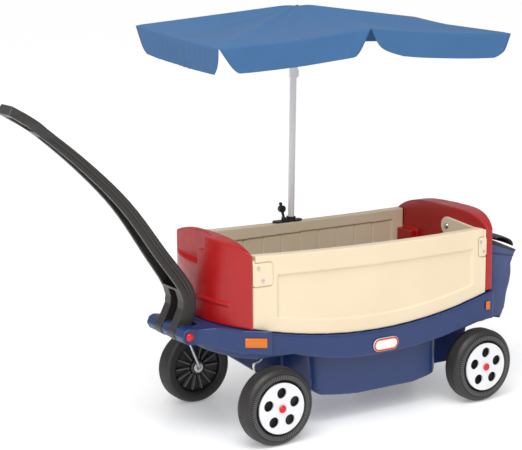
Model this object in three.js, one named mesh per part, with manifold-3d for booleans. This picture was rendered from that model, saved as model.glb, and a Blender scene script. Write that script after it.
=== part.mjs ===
// Children's wagon with a pull handle, a fold-over side panel, an umbrella and a storage bag.
// Millimetres, +Z up. The pull handle is at -X, the bag at +X, and the folding panel on the -Y side.
import * as THREE from 'three';
import { mergeVertices } from 'three/addons/utils/BufferGeometryUtils.js';
import { ConvexGeometry } from 'three/addons/geometries/ConvexGeometry.js';
import Module from 'manifold-3d';

const wasm = await Module();
wasm.setup();

// ---- driving dimensions ----
const GAP = 0.4; // between parts that touch
const WHEEL_R = 115;
const AXLE_Z = 110; // the body is drawn with its axles at this height
const TYRE_WIDTH = 65;
const TRACK_Y = 273.6; // outer face of a tyre
const AXLE_X = 378.6;
const AXLE_R = 5;
const BODY_FRONT = -436; // front end of the side panels
const BODY_REAR = 411;
const PANEL_T = 34;
const SKIN = 6;
const DECK_Z = 262;
const WELL_FLOOR_Z = 86;
const HITCH = { x: -584, z: 314, eye: 24, pin: 7 };
const PIVOT = { y: -45, z: 520, eye: 29, bolt: 6 };
const POLE = { x: -25, y: 218, z: 541, lean: 0.0245, r: 10.5, bottom: 448, top: 1190 };
const CASTER = { x: -398, y: 200, wire: 5, top: 316 };
const WALL_FRONT_X = -438; // flat inner faces of the two end walls
const WALL_REAR_X = 413;
const FRONT_FOOT = [-439, -411, 116]; // front, rear and half width of each end wall's foot on the deck
const REAR_FOOT = [386, 414, 150];
const SEAT = 1; // depth of the seat that a foot stands in

// ---- outlines of the body ----
const halfWidth = (x) => 234.5 - 9.5 * ((x - 139) / 420) ** 2;
const panelTop = (x) => 538.5 - 4.3 * (x / 420) + 6.8 * (x / 420) ** 2;
const rimTop = (x) => 278 + 56 * ((THREE.MathUtils.clamp(x, -436, 430) + 7) / 420) ** 2;
const rimLow = (x) => {
  const away = THREE.MathUtils.clamp(x, -436, 430) + 20;
  return Math.min(DECK_Z - 12, 204 + (away < 0 ? 55 : 27) * (away / 316) ** 2);
};
const frontFace = (y) => -500 + 58 * (Math.abs(y) / 220) ** 2.2;
const rearFace = (y) => 482 - 46 * (Math.abs(y) / 231) ** 2.6;

// ---- geometry helpers ----
function steps(from, to, count) {
  return Array.from({ length: count + 1 }, (_, i) => from + ((to - from) * i) / count);
}

function shapeOf(points, holes = []) {
  const shape = new THREE.Shape(points.map(([a, b]) => new THREE.Vector2(a, b)));
  for (const hole of holes) {
    shape.holes.push(new THREE.Path(hole.map(([a, b]) => new THREE.Vector2(a, b))));
  }
  return shape;
}

function prismZ(points, z0, z1, holes = []) {
  const g = new THREE.ExtrudeGeometry(shapeOf(points, holes), { depth: z1 - z0, bevelEnabled: false });
  return solid(g.translate(0, 0, z0));
}

// points are (x, z), extruded along Y
function prismY(points, y0, y1, holes = []) {
  const g = new THREE.ExtrudeGeometry(shapeOf(points, holes), { depth: y1 - y0, bevelEnabled: false });
  return solid(g.rotateX(Math.PI / 2).translate(0, y1, 0));
}

// points are (y, z), extruded along X
function prismX(points, x0, x1) {
  const g = new THREE.ExtrudeGeometry(shapeOf(points), { depth: x1 - x0, bevelEnabled: false });
  const turn = new THREE.Matrix4().makeBasis(
    new THREE.Vector3(0, 1, 0), new THREE.Vector3(0, 0, 1), new THREE.Vector3(1, 0, 0));
  return solid(g.applyMatrix4(turn).translate(x0, 0, 0));
}

function boxOf(x0, x1, y0, y1, z0, z1) {
  const g = new THREE.BoxGeometry(x1 - x0, y1 - y0, z1 - z0);
  return solid(g.translate((x0 + x1) / 2, (y0 + y1) / 2, (z0 + z1) / 2));
}

// a round bar along X, Y or Z between two stations
function bar(axis, r, a, b, u, v, sides = 24) {
  const g = new THREE.CylinderGeometry(r, r, b - a, sides).translate(0, (a + b) / 2, 0);
  if (axis === 'x') g.rotateZ(-Math.PI / 2).translate(0, u, v);
  if (axis === 'y') g.translate(u, 0, v);
  if (axis === 'z') g.rotateX(Math.PI / 2).translate(u, v, 0);
  return solid(g);
}

function solid(geometry) {
  const g = geometry.clone();
  g.deleteAttribute('normal');
  g.deleteAttribute('uv');
  const merged = mergeVertices(g, 1e-3);
  return new wasm.Manifold(new wasm.Mesh({
    numProp: 3,
    vertProperties: new Float32Array(merged.attributes.position.array),
    triVerts: new Uint32Array(merged.index.array),
  }));
}

function joined(...solids) {
  return solids.reduce((a, b) => a.add(b));
}

function geometryOf(made) {
  const mesh = made.getMesh();
  const g = new THREE.BufferGeometry();
  g.setAttribute('position', new THREE.BufferAttribute(mesh.vertProperties, 3));
  g.setIndex(new THREE.BufferAttribute(mesh.triVerts, 1));
  g.computeVertexNormals();
  return g;
}

const rounded = (a0, a1, b0, b1, r, n = 4) => {
  const corners = [[a1 - r, b1 - r, 0], [a0 + r, b1 - r, 1], [a0 + r, b0 + r, 2], [a1 - r, b0 + r, 3]];
  return corners.flatMap(([a, b, quarter]) => steps(0, 1, n).map((t) => {
    const angle = (quarter + t) * Math.PI / 2;
    return [a + r * Math.cos(angle), b + r * Math.sin(angle)];
  }));
};

// ---- materials ----
const plastic = (color, roughness) => new THREE.MeshStandardMaterial({ color, roughness, metalness: 0 });
const metal = (color, roughness) => new THREE.MeshStandardMaterial({ color, roughness, metalness: 1 });
const navy = plastic(0x2f4674, 0.4);
const red = plastic(0xb0252a, 0.4);
const beige = plastic(0xe6d6b6, 0.5);
const darkGrey = plastic(0x45423f, 0.5);
const black = plastic(0x201f1f, 0.55);
const rubberBlack = plastic(0x383634, 0.7);
const white = plastic(0xf2f2f0, 0.35);
const capRed = plastic(0xd0302c, 0.35);
const orange = plastic(0xe08a10, 0.25);
const steel = metal(0xc4c4c4, 0.35);
const whitePaint = plastic(0xf0f0ef, 0.35);
const canopyCloth = plastic(0x36709f, 0.9);
const bagCloth = plastic(0x4a5a86, 0.9);

const wagon = new THREE.Group();

function part(name, made, material, parent = wagon) {
  const geometry = made.isBufferGeometry ? made : geometryOf(made);
  const mesh = new THREE.Mesh(geometry, material);
  mesh.name = name;
  parent.add(mesh);
  return mesh;
}

// ---- tub: rotomoulded floor with a curved rim and a deep footwell ----
// the plan outline of the body, moved outward by off
function planOutline(off, count = 14) {
  const sideX = steps(Math.max(-428, BODY_FRONT - off * 0.5), 434 + off * 0.5, count);
  const side = (sign) => sideX.map((x) => [x, sign * (halfWidth(x) + off)]);
  const endY = steps(-1, 1, 10).slice(1, -1);
  const rear = endY.map((t) => {
    const y = t * 230;
    return [rearFace(y) + off, y * (1 + off / 230)];
  });
  const front = endY.map((t) => {
    const y = -t * 220;
    return [frontFace(y) - Math.min(off, 2), y * (1 + Math.min(off, 3) / 220)];
  });
  return [...side(-1), ...rear, ...side(1).reverse(), ...front];
}

// the side profile between two height curves
function sideProfile(low, high, x0 = -560, x1 = 560, count = 18) {
  const xs = steps(x0, x1, count);
  return [...xs.map((x) => [x, low(x)]), ...xs.reverse().map((x) => [x, high(x)])];
}

// the footwell's side profile: a flat middle that rises towards both ends, like the rim above it
const WELL_UNDERSIDE = [[-212, 112], [-190, 95], [-120, 84], [-60, 78], [160, 78], [205, 86], [240, 95],
  [258, 110]];
const WELL_INSIDE = [[-206, 122], [-186, 104], [-120, 93], [-60, WELL_FLOOR_Z], [160, WELL_FLOOR_Z],
  [202, 94], [235, 104], [252, 119]];

// the footwell block with drafted sides and rounded corners
function wellBlock(underside, half, corner) {
  const [front, rear] = [underside[0][0], underside[underside.length - 1][0]];
  const long = prismY([...underside, [rear + 6, 300], [front - 12, 300]], -260, 260);
  const across = prismX([[-half, 70], [half, 70], [half + 4, 300], [-half - 4, 300]], -400, 400);
  const plan = prismZ(rounded(front - 12, rear + 6, -half - 4, half + 4, corner, 6), 70, 300);
  return long.intersect(across).intersect(plan);
}

function makeTub() {
  const block = prismZ(planOutline(9), 100, 400).intersect(prismY(sideProfile(rimLow, rimTop), -300, 300));
  const inside = prismZ(planOutline(-PANEL_T - 4), DECK_Z, 400);
  const underDeck = prismZ(planOutline(-5), 90, DECK_Z - 10);
  const ringHollow = prismZ(planOutline(-5), 90, 267).subtract(prismZ(planOutline(-30), 80, 280));
  let tub = block.subtract(inside).subtract(underDeck).subtract(ringHollow);
  // rear axle housing, open underneath
  const housing = prismY([[236, 101], [400, 101], [416, 255], [236, 255]], -142, 142)
    .subtract(prismY([[244, 90], [392, 90], [406, DECK_Z - 10], [244, DECK_Z - 10]], -134, 134));
  // keel between the two casters
  const keel = prismY([[-452, 252], [-440, 236], [-300, 138], [-215, 110], [-200, 255]], -24, 24);
  const well = wellBlock(WELL_UNDERSIDE, 196, 56).intersect(boxOf(-400, 400, -260, 260, 60, 256));
  tub = joined(tub, housing, keel, well).subtract(wellBlock(WELL_INSIDE, 190, 50));
  // shallow seats for the feet of the two end walls
  for (const foot of [FRONT_FOOT, REAR_FOOT]) {
    const [x0, x1, half] = foot;
    tub = tub.subtract(boxOf(x0 - 1, x1 + 1, -half - 1, half + 1, DECK_Z - SEAT, 300));
  }
  tub = tub.subtract(bar('y', AXLE_R + GAP, -200, 200, AXLE_X, AXLE_Z));
  // sockets for the two caster stems
  for (const side of [-1, 1]) {
    tub = tub.add(bar('z', 15, 258, 290, CASTER.x, side * CASTER.y));
    tub = tub.subtract(bar('z', CASTER.wire + GAP, 200, CASTER.top + 1, CASTER.x, side * CASTER.y));
  }
  return tub;
}
part('tub', makeTub(), navy);

// ---- front bumper with the three hitch knuckles ----
const KNUCKLES = [[-111, -59], [-20, 20], [59, 111]];
const FLANK = [[-406, 250], [-462, 211]]; // the slanted face that carries a reflector

function makeBumper() {
  const half = [[-390, 246], ...FLANK, [-497, 152], [-508, 137], [-536, 119], [-556, 111]];
  const plan = [...half, ...half.map(([x, y]) => [x, -y]).reverse()];
  const profile = [[-380, 261], [-380, 330], [-436, 337], [-500, 337], [-556, 331], [-556, 290], [-490, 271]];
  const block = prismZ(plan, 240, 360).intersect(prismY(profile, -300, 300));
  const arm = [[-584, 338], [-600, 332], [-608, 314], [-600, 297], [-584, 290], [-540, 284], [-540, 330]];
  const knuckles = KNUCKLES.map(([a, b]) => prismY(arm, a, b));
  let bumper = joined(block, ...knuckles).subtract(prismZ(planOutline(9 + GAP), 200, 400));
  // slots for the two prongs of the handle
  for (const [a, b] of [[-59, -20], [20, 59]]) {
    const round = bar('y', 31, a, b, HITCH.x, HITCH.z);
    bumper = bumper.subtract(round).subtract(boxOf(-620, -526, a, b, 300, 360));
  }
  return bumper.subtract(bar('y', HITCH.pin + GAP, -130, 130, HITCH.x, HITCH.z));
}
part('front_bumper', makeBumper(), navy);

// ---- hitch pin with its two push caps ----
part('hitch_pin', bar('y', HITCH.pin, -111.5, 111.5, HITCH.x, HITCH.z), steel);

function makeHitchCap(side) {
  const from = 112;
  const profile = [[0, 0], [12, 0], [12, 2], [9, 6], [0, 7]].map(([r, y]) => new THREE.Vector2(r, y));
  const g = new THREE.LatheGeometry(profile, 20);
  if (side < 0) g.rotateX(Math.PI);
  return solid(g.translate(HITCH.x, side * from, HITCH.z));
}
part('hitch_cap_near', makeHitchCap(-1), capRed);
part('hitch_cap_far', makeHitchCap(1), capRed);

// ---- pull handle: a curved channel that forks over the middle knuckle, with a loop grip ----
const HANDLE_LINE = [[-584, 314], [-554, 372], [-551, 412], [-570, 458], [-632, 547], [-734, 694],
  [-853, 819], [-984, 931], [-1070, 988]];
const HANDLE_WEB = 9;
const FORK_TOP_Z = 432;

function handleBand(frontOffset, backOffset, from = 0, to = 1) {
  const curve = new THREE.SplineCurve(HANDLE_LINE.map(([x, z]) => new THREE.Vector2(x, z)));
  const front = [];
  const back = [];
  for (const t of steps(from, to, 26)) {
    const p = curve.getPointAt(t);
    const d = curve.getTangentAt(t);
    const depth = THREE.MathUtils.lerp(46, 27, Math.min(1, t * 1.1));
    const left = [-d.y, d.x]; // points to the front and underside of the handle
    front.push([p.x + left[0] * (depth / 2 + frontOffset), p.y + left[1] * (depth / 2 + frontOffset)]);
    back.push([p.x - left[0] * (depth / 2 + backOffset), p.y - left[1] * (depth / 2 + backOffset)]);
  }
  return [...front, ...back.reverse()];
}

// a long shallow groove in both side faces, between two offsets from the handle's middle line
function sideGroove(front, back) {
  const curve = new THREE.SplineCurve(HANDLE_LINE.map(([x, z]) => new THREE.Vector2(x, z)));
  const edges = [front, back].map((offset) => steps(0.13, 0.83, 16).map((t) => {
    const p = curve.getPointAt(t);
    const d = curve.getTangentAt(t);
    return [p.x - d.y * offset, p.y + d.x * offset];
  }));
  const strip = prismY([...edges[0], ...edges[1].reverse()], -70, 70);
  return strip.subtract(prismX(handleWidth(2), -1200, -400));
}

function handleWidth(inset) {
  const half = [[57, 280], [57, 440], [44, 560], [37, 694], [30, 819], [25, 905], [30, 930], [46, 950],
    [48, 975], [34, 1003]];
  const side = half.map(([y, z]) => [y - inset, z]);
  return [...side, ...side.map(([y, z]) => [-y, z]).reverse()];
}

function makeHandle() {
  const eyes = bar('y', HITCH.eye, -58, 58, HITCH.x, HITCH.z);
  const body = prismY(handleBand(0, 0), -60, 60).intersect(prismX(handleWidth(0), -1200, -400));
  let handle = body.add(eyes);
  const channel = prismY(handleBand(20, -HANDLE_WEB, 0.02, 0.86), -60, 60)
    .intersect(prismX(handleWidth(12), -1200, -400))
    .intersect(boxOf(-1200, -400, -60, 60, FORK_TOP_Z + 10, 912));
  handle = handle.subtract(channel);
  handle = handle.subtract(boxOf(-640, -500, -21, 21, 270, FORK_TOP_Z));
  handle = handle.subtract(sideGroove(2, -2)).subtract(sideGroove(-7, -10));
  const window = new THREE.BoxGeometry(76, 54, 80).rotateY(THREE.MathUtils.degToRad(32));
  handle = handle.subtract(solid(window.translate(-1019, 0, 957)));
  return handle.subtract(bar('y', HITCH.pin + GAP, -70, 70, HITCH.x, HITCH.z));
}
part('handle', makeHandle(), darkGrey);

// ---- the two end walls ----
function wallTop(y, half, centre, corner, power) {
  return corner + (centre - corner) * (1 - (Math.abs(y) / half) ** power);
}

function wallFoot([x0, x1, half]) {
  return boxOf(x0, x1, -half, half, DECK_Z - SEAT + GAP, 440);
}

// a raised band on the front wall's outer face
function frontBand(y0, y1, z0, z1, proud) {
  const ys = steps(y0, y1, 8);
  const outside = ys.map((y) => [frontFace(y) + 1 - proud, y]);
  const inside = ys.map((y) => [frontFace(y) + 3, y]).reverse();
  return prismZ([...outside, ...inside].reverse(), z0, z1);
}

function makeFrontWall() {
  const ys = steps(-221, 221, 26);
  const plan = [...ys.map((y) => [frontFace(y) + 1, y]), [WALL_FRONT_X, 221], [WALL_FRONT_X, -221]];
  const face = [...ys.map((y) => [y, wallTop(y, 221, 588, 553, 3.2)]), [221, 338], [-221, 338]];
  const wall = prismZ(plan, 300, 620).intersect(prismX(face, -520, -400));
  const shelf = boxOf(-520, -456, -10, 196, 500, 640);
  const ledge = boxOf(-520, -468, -45, -9, 545, 640);
  const foot = wallFoot(FRONT_FOOT);
  const rib = frontBand(-150, 40, 398, 408, 4);
  const line = frontBand(-150, -46, 497, 500, 3).translate(1.5, 0, 0);
  return joined(wall, foot, rib).subtract(line).subtract(shelf).subtract(ledge)
    .subtract(bar('x', PIVOT.bolt + GAP, -470, -400, PIVOT.y, PIVOT.z, 16));
}
part('front_wall', makeFrontWall(), red);

function makeRearWall() {
  const ys = steps(-231, 231, 26);
  const plan = [...ys.map((y) => [rearFace(y) - 1, y]), [WALL_REAR_X, 231], [WALL_REAR_X, -231]].reverse();
  const face = [...ys.map((y) => [y, wallTop(y, 231, 583, 540, 4)]), [231, 341], [-231, 341]];
  const wall = prismZ(plan, 300, 620).intersect(prismX(face, 400, 520));
  const foot = wallFoot(REAR_FOOT);
  const post = boxOf(386, WALL_REAR_X + 1, 120, 196, 430, 478);
  return joined(wall, foot, post).subtract(bar('x', PIVOT.bolt + GAP, 380, 450, PIVOT.y, PIVOT.z, 16));
}
part('rear_wall', makeRearWall(), red);

// ---- side panels: twin-walled boards with a framed field outside and grooved planks inside ----
// a vertical sheet that follows the side between two insets from the outer face
function sideSheet(side, outer, inner, x0, x1, z0 = 250, z1 = 620) {
  const xs = steps(x0, x1, 12);
  const outside = xs.map((x) => [x, side * (halfWidth(x) - outer)]);
  const inside = xs.map((x) => [x, side * (halfWidth(x) - inner)]).reverse();
  const points = side < 0 ? [...outside, ...inside] : [...outside, ...inside].reverse();
  return prismZ(points, z0, z1);
}

const FIELD = { x0: -354, x1: 356, depth: 6 };
const GROOVE = { first: -142, pitch: 72, width: 5, depth: 4 };

function fieldOutline() {
  const low = (x) => rimTop(x) + 3 + 44;
  const high = (x) => panelTop(x) - 59;
  return sideProfile(low, high, FIELD.x0, FIELD.x1, 12);
}

function makePanel(side) {
  const outline = sideProfile((x) => rimTop(x) + 3, panelTop, BODY_FRONT, BODY_REAR, 14);
  let panel = sideSheet(side, 0, PANEL_T, BODY_FRONT, BODY_REAR).intersect(prismY(outline, -300, 300));
  const field = sideSheet(side, -5, FIELD.depth, FIELD.x0 - 5, FIELD.x1 + 5)
    .intersect(prismY(fieldOutline(), -300, 300));
  const planks = sideSheet(side, PANEL_T - 5, PANEL_T + 5, -392, 367, 250, 505);
  panel = panel.subtract(field).subtract(planks);
  for (let i = -3; i <= 6; i++) {
    const x = GROOVE.first + i * GROOVE.pitch;
    const y = side * (halfWidth(x) - PANEL_T + 5);
    const [half, deep] = [GROOVE.width / 2, GROOVE.depth];
    panel = panel.subtract(boxOf(x - half, x + half, y - deep, y + deep, 250, 505));
  }
  return panel;
}

// ---- swing arms that carry the folding panel ----
const PLATES = [
  { name: 'front_arm', x0: BODY_FRONT, x1: -371, z0: 461, z1: 528, web: [-436, -426.5] },
  { name: 'rear_arm', x0: 380, x1: BODY_REAR, z0: 453, z1: 514, web: [401.5, 411] },
];

const ARM_PROUD = 2.5; // an arm's plate stands out of the panel by this, in a groove this wide
const ARM_GROOVE = 2;

function armOutline(z0, half) {
  const eye = steps(90, -90, 10).map((a) => {
    const angle = THREE.MathUtils.degToRad(a);
    return [PIVOT.y + PIVOT.eye * Math.cos(angle), PIVOT.z + PIVOT.eye * Math.sin(angle)];
  });
  const top = panelTop(0) - 2;
  return [...eye, [-half + PANEL_T, z0], [-half, z0], [-half, top], [-half + 60, top]].reverse();
}

function makeArm(p) {
  const half = halfWidth((p.web[0] + p.web[1]) / 2) - 1;
  const web = prismX(armOutline(p.z0, half), p.web[0], p.web[1]);
  const outline = rounded(p.x0, p.x1, p.z0, p.z1, 9, 3);
  const plate = sideSheet(-1, -ARM_PROUD, 4, p.x0, p.x1).intersect(prismY(outline, -300, 300));
  const root = boxOf(p.web[0], p.web[1], -half - 1, -half + 6, p.z0 + 10, p.z1 - 10);
  let arm = joined(web, plate, root);
  arm = arm.subtract(bar('x', PIVOT.bolt + GAP, p.web[0] - 5, p.web[1] + 5, PIVOT.y, PIVOT.z, 16));
  return screwHoles(arm, p);
}

function screwPlaces(p) {
  const cx = p.x1 - p.x0 > 50 ? p.x0 + 26 : p.x0 + 13;
  return [[cx - 8, p.z1 - 14], [cx + 6, p.z0 + 16]];
}

function screwHoles(made, p) {
  return screwPlaces(p).reduce((m, [x, z]) => m.subtract(bar('y', 2.6, -260, -190, x, z, 12)), made);
}

function makeNearPanel() {
  let panel = makePanel(-1);
  for (const p of PLATES) {
    const out = ARM_GROOVE;
    const seat = rounded(p.x0 - out, p.x1 + out, p.z0 - out, p.z1 + out, 9 + out, 3);
    const sheet = sideSheet(-1, -8, 4 + GAP, p.x0 - 2 * out, p.x1 + 2 * out);
    panel = panel.subtract(sheet.intersect(prismY(seat, -300, 300)));
    panel = panel.subtract(boxOf(p.web[0] - 1.5, p.web[1] + 1.5, -260, -150, p.z0 - 1, 600));
    panel = screwHoles(panel, p);
  }
  return panel;
}
part('folding_panel', makeNearPanel(), beige);
for (const p of PLATES) {
  part(p.name, makeArm(p), beige);
  screwPlaces(p).forEach(([x, z], i) => {
    const y = -halfWidth(x) - ARM_PROUD - GAP;
    const screw = joined(bar('y', 4.5, y - 2, y, x, z, 12), bar('y', 2.2, y - 1, y + 26, x, z, 12));
    part(`${p.name}_screw_${i + 1}`, screw, steel);
  });
}

// pivot bolts: a domed head inside the arm, a shank through it into the wall
function makePivotBolt(direction, headX, endX) {
  const profile = [[0, -5], [7, -4], [10, 0], [PIVOT.bolt, 0], [PIVOT.bolt, Math.abs(endX - headX)],
    [0, Math.abs(endX - headX)]].map(([r, y]) => new THREE.Vector2(r, y));
  const g = new THREE.LatheGeometry(profile, 16).rotateZ(-direction * Math.PI / 2);
  return solid(g.translate(headX, PIVOT.y, PIVOT.z));
}
part('front_pivot_bolt', makePivotBolt(-1, PLATES[0].web[1] + GAP, -466), steel);
part('rear_pivot_bolt', makePivotBolt(1, PLATES[1].web[0] - GAP, 446), steel);

// ---- fixed panel, bored for the umbrella pole ----
function makeFarPanel() {
  return makePanel(1).subtract(poleBar(POLE.r + 0.7, POLE.bottom - 3, 580, 20));
}

// a round bar on the leaning axis of the umbrella pole, between two heights
function poleBar(r, z0, z1, sides = 20) {
  const g = new THREE.CylinderGeometry(r, r, z1 - z0, sides).rotateX(Math.PI / 2);
  g.translate(0, 0, (z0 + z1) / 2 - POLE.z);
  return solid(g.rotateY(Math.atan(POLE.lean)).translate(POLE.x, POLE.y, POLE.z));
}
part('fixed_panel', makeFarPanel(), beige);

// ---- umbrella socket: an oval collar plate on the fixed panel, with a tethered plug beside the pole ----
const PLATE = { x0: -93, x1: 15, z0: 540.6, z1: 545.6, halfY: 15 };
const PLUG = { x: -52, z: 552, disc: 12 };

function makeCollar() {
  const oval = rounded(PLATE.x0, PLATE.x1, POLE.y - PLATE.halfY, POLE.y + PLATE.halfY, PLATE.halfY - 0.5, 6);
  const plate = prismZ(oval, PLATE.z0, PLATE.z1);
  const ring = poleBar(POLE.r + 5, 543, 556);
  const hinge = boxOf(PLUG.x - 4, PLUG.x + 4, POLE.y - 9, POLE.y - 4.5, PLATE.z1 - 1, PLUG.z + 4);
  const hinge2 = boxOf(PLUG.x - 4, PLUG.x + 4, POLE.y + 4.5, POLE.y + 9, PLATE.z1 - 1, PLUG.z + 4);
  return joined(plate, ring, hinge, hinge2).subtract(poleBar(POLE.r + 0.7, 500, 600));
}
part('umbrella_socket', makeCollar(), black);

// the plug: a round stopper on a stem, with a ball to pull it by
function makePlug() {
  const stem = boxOf(-3.5, 3.5, -4, 4, -4, 24);
  const disc = bar('y', PLUG.disc, -7, 7, 0, 32, 20);
  const ball = solid(new THREE.SphereGeometry(6, 12, 8).translate(0, 0, 49));
  return joined(stem, disc, ball);
}
const plugPivot = new THREE.Group();
plugPivot.position.set(PLUG.x, POLE.y, PLUG.z);
plugPivot.rotation.y = -THREE.MathUtils.degToRad(14);
wagon.add(plugPivot);
part('socket_plug', makePlug(), black, plugPivot);

// ---- umbrella: pole, runner, rib hub, six ribs and the canopy ----
part('umbrella_pole', poleBar(POLE.r, POLE.bottom, POLE.top), whitePaint);
function makeRunner() {
  const hook = boxOf(POLE.x + 20, POLE.x + 30, POLE.y - 3, POLE.y + 3, 1002, 1026);
  const sleeve = joined(poleBar(14, 1026, 1060), poleBar(12.8, 1000, 1028), hook);
  return sleeve.subtract(poleBar(POLE.r + GAP, 980, 1080));
}
part('umbrella_runner', makeRunner(), white);
part('rib_hub', poleBar(18, POLE.top + GAP, 1212), white);

const APEX = [-8, 218, 1232];
const CORNERS = {
  near_front: [-525, -195, 1137],
  near_middle: [-15, -198, 1173],
  near_rear: [518, -200, 1139],
  far_rear: [517, 269, 1172],
  far_middle: [-5, 280, 1195],
  far_front: [-531, 288, 1180],
};
const CLOTH_T = 4;
const VALANCE = 78;
const RIB_R = 2.5;

function vec([x, y, z], dx = 0, dy = 0, dz = 0) {
  return new THREE.Vector3(x + dx, y + dy, z + dz);
}

// a straight tapering panel of cloth between its corner points, given thickness by a shift
function clothPiece(corners, shift) {
  const points = corners.flatMap((p) => [p.clone(), p.clone().add(shift)]);
  return solid(new ConvexGeometry(points));
}

function makeCanopy() {
  const ring = Object.values(CORNERS);
  const down = new THREE.Vector3(0, 0, -CLOTH_T);
  const pieces = [];
  ring.forEach((a, i) => {
    const b = ring[(i + 1) % ring.length];
    pieces.push(clothPiece([vec(APEX), vec(a), vec(b)], down));
    const along = vec(b).sub(vec(a)).setZ(0).normalize();
    const inward = new THREE.Vector3(-along.y, along.x, 0).multiplyScalar(CLOTH_T);
    const hang = [[8, -1], [30, -VALANCE]];
    const left = hang.map(([d, dz]) => vec(a).addScaledVector(along, d).add(new THREE.Vector3(0, 0, dz)));
    const right = hang.map(([d, dz]) => vec(b).addScaledVector(along, -d).add(new THREE.Vector3(0, 0, dz)));
    pieces.push(clothPiece([...left, ...right], inward));
  });
  return joined(...pieces);
}
part('canopy', makeCanopy(), canopyCloth);

function makeRib(corner, short) {
  const axisX = POLE.x + POLE.lean * (1204 - POLE.z);
  const target = vec(corner, 0, 0, -CLOTH_T - RIB_R - 4);
  const from = new THREE.Vector3(axisX, POLE.y, 1204);
  const along = target.clone().sub(from);
  const flat = Math.hypot(along.x, along.y);
  const start = from.clone().addScaledVector(along, 19.5 / flat);
  const end = from.clone().addScaledVector(along, 1 - short / flat);
  const section = new THREE.Shape().absarc(0, 0, RIB_R, 0, 2 * Math.PI);
  return solid(new THREE.ExtrudeGeometry(section,
    { steps: 1, curveSegments: 4, bevelEnabled: false, extrudePath: new THREE.LineCurve3(start, end) }));
}
for (const [name, corner] of Object.entries(CORNERS)) {
  // the two long far ribs run close beside the far valance, so they stop further from their corners
  const short = name === 'far_front' || name === 'far_rear' ? 72 : 18;
  part(`rib_${name}`, makeRib(corner, short), steel);
}

// ---- storage bag on the rear wall: a cloth box with a fixed top strip, a flap lid and two straps ----
const BAG = { half: 180, wall: 5, lidFront: 498, lidBack: 604, lidT: 6, lidLift: 0.8 };
const STRAP = { half: 16, y: 150 };
const bagTop = (x) => 496 - 0.426 * (x - 462);
const BAG_SIDE = [[462, bagTop(462)], [599, bagTop(599)], [590, 422], [579, 395], [556, 256],
  [528, 222], [462, 238]];

function bagPlan(inset, back) {
  const ys = steps(-BAG.half + inset, BAG.half - inset, 10);
  const front = ys.map((y) => [rearFace(y) + 13 + inset, y]);
  return [...front, [back, BAG.half - inset], [back, -BAG.half + inset]].reverse();
}

function makeBag() {
  const outer = prismZ(bagPlan(0, 610), 200, 520).intersect(prismY(BAG_SIDE, -260, 260));
  const mouth = BAG.lidFront + 4;
  const insideSide = [[440, bagTop(440) - BAG.wall], [mouth, bagTop(mouth) - BAG.wall], [mouth, 540],
    [594, 540], [594, 438], [585, 424], [574, 397], [551, 260], [526, 228], [440, 243]];
  const inner = prismZ(bagPlan(BAG.wall, 605), 200, 560).intersect(prismY(insideSide.reverse(), -260, 260));
  return outer.subtract(inner);
}
part('bag_body', makeBag(), bagCloth);

function makeLid() {
  const low = (x) => bagTop(x) + BAG.lidLift;
  const side = [[BAG.lidFront, low(BAG.lidFront)], [BAG.lidBack, low(BAG.lidBack)],
    [BAG.lidBack, low(BAG.lidBack) + BAG.lidT], [BAG.lidFront, low(BAG.lidFront) + BAG.lidT]];
  return prismY(side, -BAG.half, BAG.half);
}
part('bag_lid', makeLid(), black);

for (const [name, side] of [['near', -1], ['far', 1]]) {
  const from = rearFace(STRAP.y - STRAP.half) + 1;
  const to = BAG.lidFront - 3;
  const low = (x) => bagTop(x) + GAP;
  const strap = [[from, low(from)], [to, low(to)], [to, low(to) + 4], [from, low(from) + 4]];
  const y = side * STRAP.y;
  part(`bag_strap_${name}`, prismY(strap, y - STRAP.half, y + STRAP.half), black);
}

// ---- wheels ----
const wheelProfile = [[AXLE_R + GAP, 4], [22, 4], [24, 22], [80, 22], [86, 3], [103, 0], [WHEEL_R, 12],
  [WHEEL_R, 53], [104, TYRE_WIDTH], [82, 64], [79, 52], [AXLE_R + GAP, 52]];

// a lathe body on a wheel's axis: profile is (radius, distance from the inner face of the tyre)
function turned(profile, x, side, sides = 28) {
  const points = [...profile, profile[0]].map(([r, y]) => new THREE.Vector2(r, y));
  const g = new THREE.LatheGeometry(points, sides);
  if (side < 0) g.rotateX(Math.PI);
  return solid(g.translate(x, side * (TRACK_Y - TYRE_WIDTH), AXLE_Z));
}

function makeHubcap(x, side) {
  const circle = (r, n, cx = 0, cz = 0) => steps(0, 2 * Math.PI, n).slice(0, -1)
    .map((a) => [cx + r * Math.cos(a), cz + r * Math.sin(a)]);
  const holes = steps(0, 5, 5).slice(0, -1).map((i) => {
    const angle = Math.PI / 2 + (i * 2 * Math.PI) / 5;
    return circle(15, 10, x + 46 * Math.cos(angle), AXLE_Z + 46 * Math.sin(angle)).reverse();
  });
  const face = TRACK_Y + 5;
  const [y0, y1] = side < 0 ? [-face, -face + 17] : [face - 17, face];
  const disc = prismY(circle(76, 28, x, AXLE_Z), y0, y1, holes);
  return disc.subtract(bar('y', AXLE_R + GAP, -300, 300, x, AXLE_Z, 16));
}

function makeAxleCap(x, side) {
  const profile = [[0, 71.6], [11.5, 71.6], [11.5, 74], [8, 77.5], [0, 78.5]];
  const g = new THREE.LatheGeometry(profile.map(([r, y]) => new THREE.Vector2(r, y)), 20);
  if (side < 0) g.rotateX(Math.PI);
  return solid(g.translate(x, side * (TRACK_Y - TYRE_WIDTH), AXLE_Z));
}

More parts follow.
